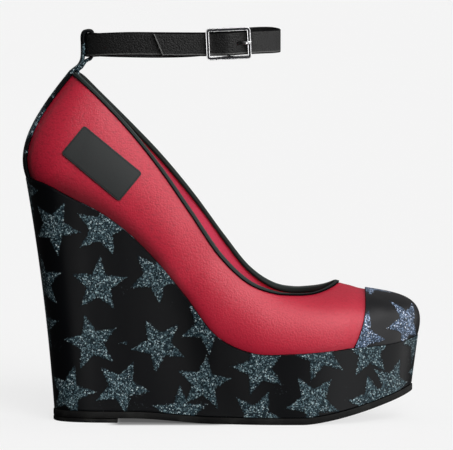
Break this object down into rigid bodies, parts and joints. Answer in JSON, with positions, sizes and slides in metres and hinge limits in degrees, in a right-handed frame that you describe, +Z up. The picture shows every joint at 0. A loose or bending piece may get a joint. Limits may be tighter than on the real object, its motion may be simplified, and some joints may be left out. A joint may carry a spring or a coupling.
{
  "type": "ankle strap wedge shoe",
  "caption": "Closed-toe platform wedge shoe in red leather with star-print wedge, toe cap and heel stay and a buckled black ankle strap.",
  "frame": {"origin": "on the floor, at the middle of the flat face of the heel's top piece", "axes": "+X from heel to toe, +Y to the inner side of this right shoe, +Z up from the floor"},
  "size_m": [0.2227, 0.0791, 0.222],
  "materials": {
    "red_leather": "grained, semi-gloss",
    "star_print": "black coated cloth with glitter stars",
    "black_leather": "fine grain, semi-gloss",
    "binding": "satin",
    "label": "matt",
    "rubber": "matt",
    "silver": "polished"
  },
  "bodies": {
    "root": {"outsole": "rubber", "heel_top_piece": "rubber", "wedge": "star_print", "insole": "red_leather", "upper": "red_leather", "toe_cap": "star_print", "topline_binding": "binding", "side_label": "label", "heel_stay": "star_print", "ankle_strap": "black_leather", "buckle_frame": "silver", "buckle_prong": "silver"}
  },
  "joints": []
}
